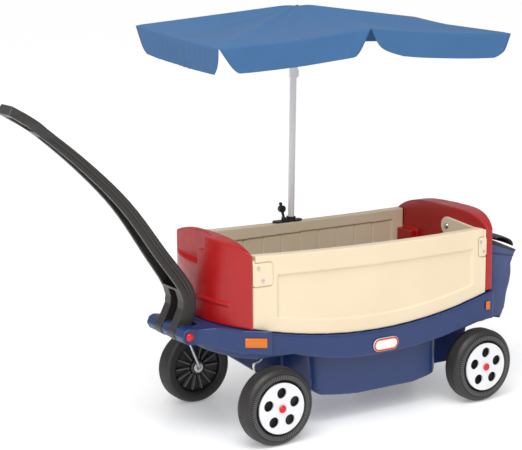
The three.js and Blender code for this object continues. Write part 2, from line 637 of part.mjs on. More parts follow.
const WHEELS = [['front_near', -AXLE_X, -1], ['front_far', -AXLE_X, 1], ['rear_near', AXLE_X, -1],
  ['rear_far', AXLE_X, 1]];
for (const [name, x, side] of WHEELS) {
  part(`wheel_${name}`, turned(wheelProfile, x, side), rubberBlack);
  part(`hubcap_${name}`, makeHubcap(x, side), white);
  part(`axle_cap_${name}`, makeAxleCap(x, side), capRed);
}
part('rear_axle', bar('y', AXLE_R, -279.2, 279.2, AXLE_X, AXLE_Z, 16), steel);

// ---- caster struts: bent steel rod from the rim socket down to the stub axle ----
// a bent rod's centre line: it takes only the stations given, the two ends and three along each bend
class Route extends THREE.Curve {
  constructor(stations) {
    super();
    this.stations = stations;
  }

  getPoint(t) {
    const place = THREE.MathUtils.clamp(t, 0, 1) * (this.stations.length - 1);
    const i = Math.min(Math.floor(place), this.stations.length - 2);
    return this.stations[i].clone().lerp(this.stations[i + 1], place - i);
  }

  getUtoTmapping(u) {
    return u;
  }
}

function bentRod(corners, bend, radius) {
  const stations = [corners[0]];
  for (let i = 1; i < corners.length - 1; i++) {
    const into = corners[i].clone().sub(corners[i - 1]);
    const out = corners[i + 1].clone().sub(corners[i]);
    const cut = Math.min(bend, into.length() / 2.2, out.length() / 2.2);
    const a = corners[i].clone().addScaledVector(into.normalize(), -cut);
    const b = corners[i].clone().addScaledVector(out.normalize(), cut);
    stations.push(a, new THREE.QuadraticBezierCurve3(a, corners[i], b).getPoint(0.5), b);
  }
  stations.push(corners[corners.length - 1]);
  const section = new THREE.Shape().absarc(0, 0, radius, 0, 2 * Math.PI);
  return solid(new THREE.ExtrudeGeometry(section, { steps: stations.length - 1, curveSegments: 5,
    bevelEnabled: false, extrudePath: new Route(stations) }));
}

for (const [name, side] of [['near', -1], ['far', 1]]) {
  const y = side * CASTER.y;
  const corners = [[CASTER.x, y, CASTER.top], [CASTER.x, y, 247], [-404, y, 237], [-424, y, 233],
    [-424, y, 222], [-AXLE_X, y, AXLE_Z], [-AXLE_X, side * 279.2, AXLE_Z]];
  part(`caster_strut_${name}`, bentRod(corners.map((p) => vec(p)), 9, CASTER.wire), steel);
}

// ---- reflectors and badges on the body sides ----
function plate(x, y, z, width, height, thick, turn) {
  const g = new THREE.BoxGeometry(width, thick, height).rotateZ(turn).translate(x, y, z);
  return solid(g);
}
for (const [name, side] of [['near', -1], ['far', 1]]) {
  const [from, to] = FLANK;
  const slant = Math.atan2(from[1] - to[1], from[0] - to[0]);
  const stand = 1.5 + GAP;
  const x = (from[0] + to[0]) / 2 - stand * Math.sin(slant);
  const y = (from[1] + to[1]) / 2 + stand * Math.cos(slant);
  part(`front_reflector_${name}`, plate(x, side * y, 302, 62, 27, 3, side * slant), orange);
  part(`rear_reflector_${name}`, plate(412, side * 243.2, 296, 16, 26, 2.5, side * -0.03), orange);
  const badgeY = side < 0 ? [-247.2, -244.2] : [244.2, 247.2];
  part(`badge_${name}`, prismY(rounded(-33, 59, 213.5, 253.5, 19.5, 6), ...badgeY), white);
}

// the origin is the middle of the footprint on the ground
const box = new THREE.Box3().setFromObject(wagon);
wagon.position.set(-(box.min.x + box.max.x) / 2, -(box.min.y + box.max.y) / 2, -box.min.z);

const root = new THREE.Group();
root.add(wagon);
export default root;
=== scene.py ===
import math

import bmesh
import bpy
from mathutils import Matrix, Vector, noise


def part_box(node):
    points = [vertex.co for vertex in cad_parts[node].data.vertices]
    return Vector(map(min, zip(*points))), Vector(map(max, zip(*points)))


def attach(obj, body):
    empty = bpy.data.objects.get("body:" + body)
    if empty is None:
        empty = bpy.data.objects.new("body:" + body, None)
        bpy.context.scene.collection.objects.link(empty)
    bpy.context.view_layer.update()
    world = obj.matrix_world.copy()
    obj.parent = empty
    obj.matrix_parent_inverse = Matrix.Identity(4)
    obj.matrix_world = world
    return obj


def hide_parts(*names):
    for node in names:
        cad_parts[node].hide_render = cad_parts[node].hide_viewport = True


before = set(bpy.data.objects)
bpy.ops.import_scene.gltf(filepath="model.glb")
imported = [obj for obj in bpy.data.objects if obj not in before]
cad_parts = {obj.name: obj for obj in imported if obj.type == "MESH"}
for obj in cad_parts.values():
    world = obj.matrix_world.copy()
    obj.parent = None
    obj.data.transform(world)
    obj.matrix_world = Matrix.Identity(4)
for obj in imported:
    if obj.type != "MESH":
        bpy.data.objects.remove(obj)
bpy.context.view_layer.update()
MM = 0.001

# ---- Camera, studio and floor ----
# A standing adult's view of the near front corner, under a broad soft sky with two softboxes, on a
# pale seamless floor. Colours are shown as they are, with no film curve.
WHEELS = (("front_near", -1), ("front_far", 1), ("rear_near", -1), ("rear_far", 1))
AXLE_HEIGHT = 110  # above the origin of the axes that the body is drawn from
hubs = [(low + high) / 2 / MM for low, high in (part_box("wheel_" + name) for name, _ in WHEELS)]
BODY = sum(hubs, Vector()) / len(hubs) - Vector((0, 0, AXLE_HEIGHT))
CAMERA_AT = (BODY + Vector((-2464.1, -3545, 1398))) * MM
YAW, PITCH, ROLL = (math.radians(a) for a in (31.72, 10.99, 0.47))
SENSOR, LENS = 36.0, 97.8

forward = Vector((math.sin(YAW) * math.cos(PITCH), math.cos(YAW) * math.cos(PITCH), -math.sin(PITCH)))
level = Vector((math.cos(YAW), -math.sin(YAW), 0))
upright = level.cross(forward)
right = level * math.cos(ROLL) - upright * math.sin(ROLL)
up = level * math.sin(ROLL) + upright * math.cos(ROLL)
camera = bpy.data.objects.new("camera", bpy.data.cameras.new("camera"))
camera.data.sensor_width, camera.data.lens = SENSOR, LENS
camera.matrix_world = Matrix((right, up, -forward)).transposed().to_4x4()
camera.location = CAMERA_AT
bpy.context.scene.collection.objects.link(camera)
bpy.context.scene.camera = camera

studio = bpy.context.scene
studio.view_settings.view_transform = "Standard"
LIGHTS = (  # name, place, aim, width, height, watts
    ("ceiling", (-1.2, -1.4, 3.2), (0, 0, 0.4), 1.8, 1.0, 26),
    ("window", (-3.2, -2.6, 1.7), (0, 0, 0.4), 0.9, 1.6, 14),
)
for name, place, aim, width, height, watts in LIGHTS:
    light = bpy.data.objects.new(name, bpy.data.lights.new(name, "AREA"))
    light.data.shape, light.data.size, light.data.size_y = "RECTANGLE", width, height
    light.data.energy = watts
    light.location = place
    light.rotation_euler = (Vector(aim) - Vector(place)).to_track_quat("-Z", "Y").to_euler()
    studio.collection.objects.link(light)
sky = bpy.data.objects.new("sky_key", bpy.data.lights.new("sky_key", "SUN"))
sky.data.energy, sky.data.angle = 1.9, math.radians(62)
sky.rotation_euler = Vector((0.35, 0.6, -1)).to_track_quat("-Z", "Y").to_euler()
studio.collection.objects.link(sky)

world = bpy.data.worlds.new("studio")
world.use_nodes = True
world.node_tree.nodes["Background"].inputs["Color"].default_value = (1, 1, 1, 1)
world.node_tree.nodes["Background"].inputs["Strength"].default_value = 0.5
studio.world = world


def linear(code):
    """An sRGB hex colour as the linear RGBA that shaders take."""
    channels = [int(code[i:i + 2], 16) / 255 for i in (0, 2, 4)]
    return (*(c / 12.92 if c <= 0.04045 else ((c + 0.055) / 1.055) ** 2.4 for c in channels), 1)


def add_node(material, kind, inputs=None, **settings):
    """Adds a shader node: settings are its own properties, and inputs are values or sockets to link."""
    made = material.node_tree.nodes.new(kind)
    for key, value in settings.items():
        setattr(made, key, value)
    for key, value in (inputs or {}).items():
        if isinstance(value, bpy.types.NodeSocket):
            material.node_tree.links.new(value, made.inputs[key])
        else:
            made.inputs[key].default_value = value
    return made


def new_material(name, roughness, ior=1.5, metallic=0.0):
    """A material with its Principled shader, which is returned with it."""
    material = bpy.data.materials.new(name)
    material.use_nodes = True
    shader = material.node_tree.nodes["Principled BSDF"]
    shader.inputs["Roughness"].default_value = roughness
    shader.inputs["Metallic"].default_value = metallic
    if not metallic:
        shader.inputs["IOR"].default_value = ior
    return material, shader


def link(material, source, target):
    material.node_tree.links.new(source, target)


floor_paint, floor_shader = new_material("painted_board_white_satin", 0.32)
floor_shader.inputs["Base Color"].default_value = linear("F7F7F7")
floor_shader.inputs["Emission Color"].default_value = linear("FFFFFF")
floor_shader.inputs["Emission Strength"].default_value = 0.22  # lit from below, as a light table is
bpy.ops.mesh.primitive_plane_add(size=240)
floor = bpy.context.object
floor.name = "floor"
floor.data.materials.append(floor_paint)


# ---- Rotomoulded plastic: tub, bumper and the two end walls ----
# Polyethylene powder melted inside a heated turning mould. It gives thick walls, soft edges, a satin
# skin with faint orange peel and slow waves, and pale rubbed edges.
EDGE_WEAR = 0.10
PEEL_MM = 5.0


def moulded_plastic(name, colour, pale, roughness=0.36, peel=0.05):
    """Moulded polyethylene: a mottled satin skin that is paler where edges are rubbed."""
    material, shader = new_material(name, roughness, 1.51)
    place = add_node(material, "ShaderNodeNewGeometry")
    slow = add_node(material, "ShaderNodeTexNoise", {"Vector": place.outputs["Position"], "Scale": 5.0,
                                                     "Detail": 2.0})
    tint = add_node(material, "ShaderNodeMix", {"Factor": slow.outputs["Fac"], 6: linear(colour),
                                                7: linear(pale)}, data_type="RGBA")
    worn = add_node(material, "ShaderNodeMapRange", {"Value": place.outputs["Pointiness"], "From Min": 0.53,
                                                     "From Max": 0.62, "To Min": 0.0, "To Max": EDGE_WEAR})
    edge = add_node(material, "ShaderNodeMix", {"Factor": worn.outputs["Result"], 6: tint.outputs[2],
                                                7: linear("FFFFFF")}, data_type="RGBA")
    link(material, edge.outputs[2], shader.inputs["Base Color"])
    scuff = add_node(material, "ShaderNodeTexNoise", {"Vector": place.outputs["Position"], "Scale": 38.0,
                                                      "Detail": 4.0})
    gloss = add_node(material, "ShaderNodeMapRange", {"Value": scuff.outputs["Fac"], "From Min": 0.35,
                                                      "From Max": 0.75, "To Min": roughness - 0.05,
                                                      "To Max": roughness + 0.09})
    link(material, gloss.outputs["Result"], shader.inputs["Roughness"])
    skin = add_node(material, "ShaderNodeTexNoise", {"Vector": place.outputs["Position"],
                                                     "Scale": 1 / (PEEL_MM * MM), "Detail": 1.0})
    bump = add_node(material, "ShaderNodeBump", {"Height": skin.outputs["Fac"], "Strength": peel,
                                                 "Distance": 0.5 * MM})
    link(material, bump.outputs["Normal"], shader.inputs["Normal"])
    return material


navy = moulded_plastic("polyethylene_rotomoulded_navy", "152C5E", "1D3568")
red = moulded_plastic("polyethylene_rotomoulded_red", "9E0A0E", "AE1214")


def paint(piece, material):
    piece.data.materials.clear()
    piece.data.materials.append(material)


def soften(name, voxel, passes, material, keep=1.0):
    """Rounds a moulded CAD node's edges: an even skin of small faces, then relaxed."""
    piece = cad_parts[name]
    weld = piece.modifiers.new("weld", "WELD")
    weld.merge_threshold = 0.02 * MM
    skin = piece.modifiers.new("skin", "REMESH")
    skin.mode, skin.voxel_size, skin.use_smooth_shade = "VOXEL", voxel * MM, True
    relax = piece.modifiers.new("relax", "SMOOTH")
    relax.factor, relax.iterations = 0.5, passes
    if keep < 1:
        thin = piece.modifiers.new("thin", "DECIMATE")
        thin.ratio = keep
    paint(piece, material)
    return piece


soften("tub", 3.2, 5, navy)
soften("front_bumper", 2.4, 6, navy)
soften("front_wall", 2.4, 7, red)
soften("rear_wall", 2.4, 7, red)


# ---- Side panels and the arms that carry the folding one ----
# Twin-walled blow-moulded polyethylene boards in beige, screwed to plates on the swing arms.
beige = moulded_plastic("polyethylene_blow_moulded_beige", "DECBAB", "E6D6BA", 0.4)
soften("folding_panel", 2.2, 4, beige)
soften("fixed_panel", 1.7, 2, beige)  # its planks meet in narrow grooves
for name in ("front_arm", "rear_arm"):
    soften(name, 1.6, 3, beige)

# ---- Pull handle ----
# Injection-moulded polypropylene with a fine spark-eroded grain, dark grey, one curved channel.
handle_grey = moulded_plastic("polypropylene_moulded_dark_grey", "232120", "2B2927", 0.38, 0.08)
soften("handle", 1.5, 3, handle_grey)

# ---- Umbrella socket and its stopper ----
# Injection-moulded black plastic collar with a tethered plug.
black_plastic = moulded_plastic("polypropylene_moulded_black", "111112", "19191A", 0.4, 0.05)
soften("umbrella_socket", 0.9, 2, black_plastic)
soften("socket_plug", 0.9, 3, black_plastic)


# ---- Steel fittings: hitch pin, pivot bolts, screws, rear axle, bent caster rods and ribs ----
# Zinc-plated mild steel, drawn and bent. It gives a cool grey gleam with fine streaks along the wire.
zinc, zinc_shader = new_material("mild_steel_zinc_plated", 0.3, metallic=1.0)
zinc_place = add_node(zinc, "ShaderNodeNewGeometry")
zinc_spangle = add_node(zinc, "ShaderNodeTexNoise", {"Vector": zinc_place.outputs["Position"], "Scale": 260.0,
                                                     "Detail": 3.0})
zinc_tint = add_node(zinc, "ShaderNodeMix", {"Factor": zinc_spangle.outputs["Fac"], 6: linear("B9BBBD"),
                                             7: linear("DCDDDE")}, data_type="RGBA")
link(zinc, zinc_tint.outputs[2], zinc_shader.inputs["Base Color"])
zinc_gloss = add_node(zinc, "ShaderNodeMapRange", {"Value": zinc_spangle.outputs["Fac"], "To Min": 0.22,
                                                   "To Max": 0.4})
link(zinc, zinc_gloss.outputs["Result"], zinc_shader.inputs["Roughness"])


def round_off(name, material, angle=35):
    """A small hard CAD node: welded, shaded smooth across shallow edges, with a fine bevel."""
    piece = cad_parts[name]
    weld = piece.modifiers.new("weld", "WELD")
    weld.merge_threshold = 0.02 * MM
    edge = piece.modifiers.new("edge", "BEVEL")
    edge.width, edge.segments, edge.limit_method, edge.angle_limit = 0.5 * MM, 2, "ANGLE", math.radians(angle)
    edge.harden_normals = False
    piece.data.polygons.foreach_set("use_smooth", [True] * len(piece.data.polygons))
    paint(piece, material)
    return piece


for name in ("hitch_pin", "front_pivot_bolt", "rear_pivot_bolt", "rear_axle", "caster_strut_near",
             "caster_strut_far", "front_arm_screw_1", "front_arm_screw_2", "rear_arm_screw_1",
             "rear_arm_screw_2"):
    round_off(name, zinc)

# ---- Small plastic trim: push caps, reflectors and the blank badges ----
# Glossy injection-moulded caps in red, amber acrylic reflectors with a moulded prism grid, and
# white badges with a coloured border.


def glossy_moulding(name, colour, pale, roughness):
    """Injection-moulded plastic: a slow tint from flow, and a faint grain that breaks up the gloss."""
    material, shader = new_material(name, roughness, 1.49)
    place = add_node(material, "ShaderNodeNewGeometry")
    flow = add_node(material, "ShaderNodeTexNoise", {"Vector": place.outputs["Position"], "Scale": 30.0,
                                                     "Detail": 2.0})
    tint = add_node(material, "ShaderNodeMix", {"Factor": flow.outputs["Fac"], 6: linear(colour),
                                                7: linear(pale)}, data_type="RGBA")
    link(material, tint.outputs[2], shader.inputs["Base Color"])
    grain = add_node(material, "ShaderNodeTexNoise", {"Vector": place.outputs["Position"],
                                                      "Scale": 1 / (GRAIN_MM * MM), "Detail": 1.0})
    bump = add_node(material, "ShaderNodeBump", {"Height": grain.outputs["Fac"], "Strength": 0.06,
                                                 "Distance": 0.2 * MM})
    link(material, bump.outputs["Normal"], shader.inputs["Normal"])
    return material


GRAIN_MM = 1.2
cap_red = glossy_moulding("polypropylene_moulded_cap_red", "C00C10", "D2181A", 0.25)
for name in ("hitch_cap_near", "hitch_cap_far", "axle_cap_front_near", "axle_cap_front_far",
             "axle_cap_rear_near", "axle_cap_rear_far"):
    round_off(name, cap_red)

PRISM_MM = 3.0
amber, amber_shader = new_material("acrylic_moulded_amber", 0.18, 1.49)
amber_shader.inputs["Base Color"].default_value = linear("D06A00")
amber_place = add_node(amber, "ShaderNodeNewGeometry")
amber_grid = add_node(amber, "ShaderNodeTexVoronoi", {"Vector": amber_place.outputs["Position"],
                                                      "Scale": 1 / (PRISM_MM * MM), "Randomness": 0.0})
amber_bump = add_node(amber, "ShaderNodeBump", {"Height": amber_grid.outputs["Distance"], "Strength": 0.35,
                                                "Distance": 0.6 * MM})
link(amber, amber_bump.outputs["Normal"], amber_shader.inputs["Normal"])
for name in ("front_reflector_near", "front_reflector_far", "rear_reflector_near", "rear_reflector_far"):
    round_off(name, amber)

badge_white = glossy_moulding("polypropylene_moulded_badge_white", "E6E3DC", "EFECE6", 0.28)
badge_border = glossy_moulding("polypropylene_moulded_badge_red", "B8240F", "C93418", 0.28)
for side in ("near", "far"):
    round_off("badge_" + side, badge_white)
    low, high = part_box("badge_" + side)
    half_height = (high.z - low.z) / 2
    ring = bpy.data.curves.new("badge_border_" + side, "CURVE")
    ring.dimensions, ring.bevel_depth, ring.bevel_resolution = "3D", 2.4 * MM, 3
    line = ring.splines.new("POLY")
    inset = 3.2 * MM
    radius = half_height - inset
    points = []
    for end, start in ((high.x - half_height, -90), (low.x + half_height, 90)):
        for step in range(17):
            angle = math.radians(start + step * 180 / 16)
            points.append((end + radius * math.cos(angle), (low.z + high.z) / 2 + radius * math.sin(angle)))
    line.points.add(len(points) - 1)
    face_y = low.y if side == "near" else high.y
    for point, (x, z) in zip(line.points, points):
        point.co = (x, face_y, z, 1)
    line.use_cyclic_u = True
    border = bpy.data.objects.new("badge_border_" + side, ring)
    border.data.materials.append(badge_border)
    bpy.context.scene.collection.objects.link(border)
    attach(border, "chassis")


# ---- Wheels ----
# Each is blow-moulded black polyethylene, tyre and disc in one, with grooves moulded round the tread
# and a fine ribbed band on the outer sidewall. A white cap with five holes snaps into the outer side.
def new_piece(name, vertices, faces, material, body):
    """A mesh piece in metres, from millimetre points, riding on a body."""
    mesh = bpy.data.meshes.new(name)
    mesh.from_pydata([Vector(v) * MM for v in vertices], [], faces)
    mesh.validate()
    made = bmesh.new()
    made.from_mesh(mesh)
    bmesh.ops.recalc_face_normals(made, faces=made.faces)
    made.to_mesh(mesh)
    made.free()
    mesh.polygons.foreach_set("use_smooth", [True] * len(mesh.polygons))
    piece = bpy.data.objects.new(name, mesh)
    bpy.context.scene.collection.objects.link(piece)
    mesh.materials.append(material)
    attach(piece, body)
    return piece


rubber = moulded_plastic("polyethylene_blow_moulded_black", "1D1B1A", "262322", 0.45, 0.06)
DISC_RIBS, SIDE_RIBS = 14, 96
TREAD = [(113.4, 13), (114.9, 17)]  # radius and distance from the tyre's inner face
for groove in (21, 27, 33, 39, 45):
    TREAD += [(115, groove - 1.9), (112.2, groove - 1.0), (112.2, groove + 1.0), (115, groove + 1.9)]
TREAD += [(114.9, 49), (113.4, 53)]
TYRE = ([(6, 4), (20, 4), (23, 7), (24, 20), (27, 22), (74, 22), (77, 20), (80, 6), (85, 2.5), (94, 0.6),
         (102, 0), (108, 3), (112, 8)] + TREAD + [(111, 57), (107, 61), (103, 63.6), (100, 64.2), (98.5, 63),
         (97, 63.4), (86, 64), (83, 64.2), (81, 62), (79.5, 54), (76.5, 52), (6, 52)])
LATHE_SIDES = 96


def lathe(profile, sides, axis, face_y, side):
    """Points and faces of a closed profile turned round an axis along Y."""
    vertices, faces = [], []
    for i in range(sides):
        angle = 2 * math.pi * i / sides
        for radius, depth in profile:
            vertices.append((axis[0] + radius * math.sin(angle), face_y + side * depth,
                             axis[1] + radius * math.cos(angle)))
    n = len(profile)
    for i in range(sides):
        for j in range(n):
            a, b = i * n + j, i * n + (j + 1) % n
            c, d = ((i + 1) % sides) * n + (j + 1) % n, ((i + 1) % sides) * n + j
            faces.append((a, b, c, d))
    return vertices, faces


def joined(parts):
    """Several (vertices, faces) as one."""
    vertices, faces = [], []
    for more, extra in parts:
        shift = len(vertices)
        vertices += list(more)
        faces += [tuple(i + shift for i in face) for face in extra]
    return vertices, faces


def box_of(corner, along, across, up_to):
    """Points and faces of a box from a corner and its three edges."""
    c, a, b, u = (Vector(v) for v in (corner, along, across, up_to))
    vertices = [c, c + a, c + a + b, c + b, c + u, c + a + u, c + a + b + u, c + b + u]
    faces = [(3, 2, 1, 0), (4, 5, 6, 7), (0, 1, 5, 4), (1, 2, 6, 5), (2, 3, 7, 6), (3, 0, 4, 7)]
    return vertices, faces


hub_white = glossy_moulding("polypropylene_moulded_white", "DCDDDF", "E6E7E9", 0.3)
HOLES, HOLE_R, HOLE_RING = 5, 17.5, 46  # of the hub cover, before the bevel stands into the holes
WASHER = [(6.2, -1), (15, -1), (15, 2.6), (6.2, 2.6)]  # radius and distance from the tyre's inner face
for name, side in WHEELS:
    low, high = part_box("wheel_" + name)
    axis = ((low.x + high.x) / 2 / MM, (low.z + high.z) / 2 / MM)
    inner = (high.y if side < 0 else low.y) / MM
    shapes = [lathe(TYRE, LATHE_SIDES, axis, inner, side)]
    for i in range(DISC_RIBS):  # ribs stiffen the dished inner disc
        angle = 2 * math.pi * (i + 0.5) / DISC_RIBS
        out = Vector((math.sin(angle), 0, math.cos(angle)))
        wide = Vector((math.cos(angle), 0, -math.sin(angle))) * 4
        start = Vector((axis[0], inner + side * 10, axis[1])) + out * 27 - wide / 2
        shapes.append(box_of(start, out * 47, wide, Vector((0, side * 13, 0))))
    for i in range(SIDE_RIBS):  # fine ribs of the outer sidewall's band
        angle = 2 * math.pi * i / SIDE_RIBS
        out = Vector((math.sin(angle), 0, math.cos(angle)))
        wide = Vector((math.cos(angle), 0, -math.sin(angle))) * 2.4
        start = Vector((axis[0], inner + side * 62.6, axis[1])) + out * 85.5 - wide / 2
        shapes.append(box_of(start, out * 11.5, wide, Vector((0, side * 2.9, 0))))
    wheel = new_piece("tyre_and_disc_" + name, *joined(shapes), rubber, "wheel_" + name)
    wheel.data.polygons.foreach_set("use_smooth", [True] * len(wheel.data.polygons))
    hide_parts("wheel_" + name)
    edge = wheel.modifiers.new("split", "EDGE_SPLIT")
    edge.split_angle = math.radians(38)

    cap_low, cap_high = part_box("hubcap_" + name)
    cap_y = (cap_low.y if side < 0 else cap_high.y)
    disc = bpy.data.curves.new("hubcap_outline_" + name, "CURVE")
    disc.dimensions, disc.fill_mode = "2D", "BOTH"
    disc.extrude, disc.bevel_depth, disc.bevel_resolution = 2.2 * MM, 1.4 * MM, 3
    rounds = [(0, 0, 74, 72), (0, 0, 8, 24)]
    rounds += [(HOLE_RING * math.cos(turn), HOLE_RING * math.sin(turn), HOLE_R, 32)
               for turn in (math.pi / 2 + 2 * math.pi * k / HOLES for k in range(HOLES))]
    for cx, cz, radius, sides in rounds:
        line = disc.splines.new("POLY")
        line.points.add(sides - 1)
        for k, point in enumerate(line.points):
            angle = 2 * math.pi * k / sides
            point.co = ((cx + radius * math.cos(angle)) * MM, (cz + radius * math.sin(angle)) * MM, 0, 1)
        line.use_cyclic_u = True
    outline = bpy.data.objects.new("hubcap_outline_" + name, disc)
    bpy.context.scene.collection.objects.link(outline)
    bpy.context.view_layer.update()
    mesh = bpy.data.meshes.new_from_object(outline.evaluated_get(bpy.context.evaluated_depsgraph_get()))
    bpy.data.objects.remove(outline)
    mesh.transform(Matrix.Translation((axis[0] * MM, cap_y + -side * 3.8 * MM, axis[1] * MM))
                   @ Matrix.Rotation(math.radians(90), 4, "X"))
    mesh.materials.clear()
    mesh.materials.append(hub_white)
    cap = bpy.data.objects.new("hub_cover_" + name, mesh)
    bpy.context.scene.collection.objects.link(cap)
    mesh.polygons.foreach_set("use_smooth", [True] * len(mesh.polygons))
    crisp = cap.modifiers.new("split", "EDGE_SPLIT")
    crisp.split_angle = math.radians(50)
    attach(cap, "wheel_" + name)
    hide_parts("hubcap_" + name)
    # a nylon washer keeps the wheel off the rod that carries it
    washer = new_piece("axle_washer_" + name, *lathe(WASHER, 40, axis, inner, side), hub_white,
                       "wheel_" + name)
    washer_edge = washer.modifiers.new("edge", "BEVEL")
    washer_edge.width, washer_edge.segments = 0.5 * MM, 2


# ---- Umbrella pole, runner, hub, ribs and stretchers ----
# White powder-coated steel tube with moulded white fittings; thin steel ribs with stretchers below.
white_coat, white_shader = new_material("steel_tube_powder_coated_white", 0.3)
white_shader.inputs["Base Color"].default_value = linear("F4F4F2")
coat_place = add_node(white_coat, "ShaderNodeNewGeometry")
coat_grain = add_node(white_coat, "ShaderNodeTexNoise", {"Vector": coat_place.outputs["Position"],
                                                         "Scale": 900.0, "Detail": 1.0})
coat_bump = add_node(white_coat, "ShaderNodeBump", {"Height": coat_grain.outputs["Fac"], "Strength": 0.05,
                                                    "Distance": 0.1 * MM})
link(white_coat, coat_bump.outputs["Normal"], white_shader.inputs["Normal"])
round_off("umbrella_pole", white_coat)
round_off("umbrella_runner", hub_white)
round_off("rib_hub", hub_white)
RIBS = ("near_front", "near_middle", "near_rear", "far_rear", "far_middle", "far_front")
for name in RIBS:
    round_off("rib_" + name, white_coat)


# A boss moulded on the outside of the fixed side covers the blind bore that the pole stands in.
BOSS_R, BOSS_WALL, BOSS_TOP, BOSS_FOOT, BOSS_TURN = 15.2, 2.4, 528, 440, 75
pole_low, pole_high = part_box("umbrella_pole")
POLE_Y = (pole_low.y + pole_high.y) / 2 / MM - BODY.y
POLE_X, POLE_Z, POLE_LEAN = -25, 541, 0.0245  # where the pole leaves its socket, and its lean along the wagon
vertices, faces = [], []
BOSS_ROWS, BOSS_COLUMNS = 24, 20
for r in range(BOSS_ROWS + 1):
    rise = 2 * r / BOSS_ROWS - 1
    radius = BOSS_R - 6 * abs(rise) ** 5
    z = (BOSS_TOP + BOSS_FOOT) / 2 + rise * (BOSS_TOP - BOSS_FOOT) / 2
    for c in range(BOSS_COLUMNS + 1):
        angle = math.radians(BOSS_TURN * (2 * c / BOSS_COLUMNS - 1))
        vertices.append(BODY + Vector((POLE_X + POLE_LEAN * (z - POLE_Z) + radius * math.sin(angle),
                                       POLE_Y + radius * math.cos(angle), z)))
for r in range(BOSS_ROWS):
    for c in range(BOSS_COLUMNS):
        a = r * (BOSS_COLUMNS + 1) + c
        faces.append((a, a + 1, a + BOSS_COLUMNS + 2, a + BOSS_COLUMNS + 1))
boss = new_piece("pole_boss", vertices, faces, beige, "chassis")
boss_skin = boss.modifiers.new("skin", "SOLIDIFY")
boss_skin.thickness, boss_skin.offset = BOSS_WALL * MM, -1


# ---- Canopy ----
# One cover of plain-woven polyester cut in six panels that meet at the crown, stretched over the ribs, with
# a loose flap hanging from each edge. The flaps' lower corners are rounded.
THREAD_MM = 1.6  # drawn three times coarser than the real thread, so that the weave shows


def woven_cloth(name, colour, pale, thread, sheen):
    """Plain weave: crossed threads as bump and faint tone, with slow fading over the cloth."""
    material, shader = new_material(name, 0.75, 1.45)
    place = add_node(material, "ShaderNodeNewGeometry")
    turns = 2 * math.pi / (thread * MM)
    split = add_node(material, "ShaderNodeSeparateXYZ", {"Vector": place.outputs["Position"]})
    level_line = add_node(material, "ShaderNodeMath", {0: split.outputs["X"], 1: split.outputs["Y"]},
                          operation="ADD")
    warp = add_node(material, "ShaderNodeMath", {0: level_line.outputs[0], 1: turns}, operation="MULTIPLY")
    tall = add_node(material, "ShaderNodeMath", {0: split.outputs["Z"], 1: split.outputs["Y"]},
                    operation="SUBTRACT")
    weft = add_node(material, "ShaderNodeMath", {0: tall.outputs[0], 1: turns}, operation="MULTIPLY")
    warp_wave = add_node(material, "ShaderNodeMath", {0: warp.outputs[0]}, operation="SINE")
    weft_wave = add_node(material, "ShaderNodeMath", {0: weft.outputs[0]}, operation="SINE")
    weave = add_node(material, "ShaderNodeMath", {0: warp_wave.outputs[0], 1: weft_wave.outputs[0]},
                     operation="MULTIPLY")
    fade = add_node(material, "ShaderNodeTexNoise", {"Vector": place.outputs["Position"], "Scale": 7.0,
                                                     "Detail": 3.0})
    tint = add_node(material, "ShaderNodeMix", {"Factor": fade.outputs["Fac"], 6: linear(colour),
                                                7: linear(pale)}, data_type="RGBA")
    depth = add_node(material, "ShaderNodeMapRange", {"Value": weave.outputs[0], "From Min": -1.0,
                                                      "To Min": 0.0, "To Max": 0.05})
    toned = add_node(material, "ShaderNodeMix", {"Factor": depth.outputs["Result"], 6: tint.outputs[2],
                                                 7: linear("FFFFFF")}, data_type="RGBA")
    link(material, toned.outputs[2], shader.inputs["Base Color"])
    bump = add_node(material, "ShaderNodeBump", {"Height": weave.outputs[0], "Strength": 0.25,
                                                 "Distance": 0.2 * MM})
    link(material, bump.outputs["Normal"], shader.inputs["Normal"])
    shader.inputs["Sheen Weight"].default_value = sheen
    shader.inputs["Sheen Roughness"].default_value = 0.5
    return material


canopy_blue = woven_cloth("polyester_plain_woven_blue", "1A5486", "225F92", THREAD_MM, 0.06)
hub_low, hub_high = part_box("rib_hub")
canopy_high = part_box("canopy")[1]
CROWN = Vector(((hub_low.x + hub_high.x) / 2 / MM + 15, (hub_low.y + hub_high.y) / 2 / MM,
                canopy_high.z / MM))
RIM = [BODY + Vector(p) for p in ((-525, -195, 1137), (-15, -198, 1173), (518, -200, 1139),
                                  (517, 269, 1172), (-5, 280, 1195), (-531, 288, 1180))]
PANEL_ACROSS, PANEL_DOWN, FLAP_DOWN = 36, 22, 12
FLAP_DROP = 78
SHORT_FLAP, PUCKER = 5, 9  # the front flap puckers where it was folded
# how far each flap's two ends stand in from the ribs: a straight slant and a curve at the lower corner
FLAP_ENDS = (((56, 10), (42, 10)), ((44, 76), (32, 30)), ((30, 30), (40, 20)), ((40, 20), (40, 20)),
             ((40, 20), (40, 20)), ((40, 20), (14, 10)))
SAG = 17


def canopy_point(i, s, t):
    """A point of cover panel i: s runs along its rim edge, and t from the crown to the rim."""
    a, b = RIM[i], RIM[(i + 1) % len(RIM)]
    edge = a.lerp(b, s)
    belly = math.sin(math.pi * s)
    inward = (CROWN - edge)
    inward.z = 0
    edge = edge + inward.normalized() * 5 * belly + Vector((0, 0, -5 * belly))
    point = CROWN.lerp(edge, t)
    fullness = math.sin(math.pi * min(1, t * 0.98)) ** 0.8 if t < 1 else 0
    crease = math.cos(6 * math.pi * s) * 1.6 * t * (1 - t) * 4 * belly
    ripple = noise.noise(point * 0.012) * 3.0 * fullness * belly
    dimple = -7 * math.exp(-(t / 0.05) ** 2)
    return point + Vector((0, 0, -SAG * fullness * belly + crease + ripple + dimple))


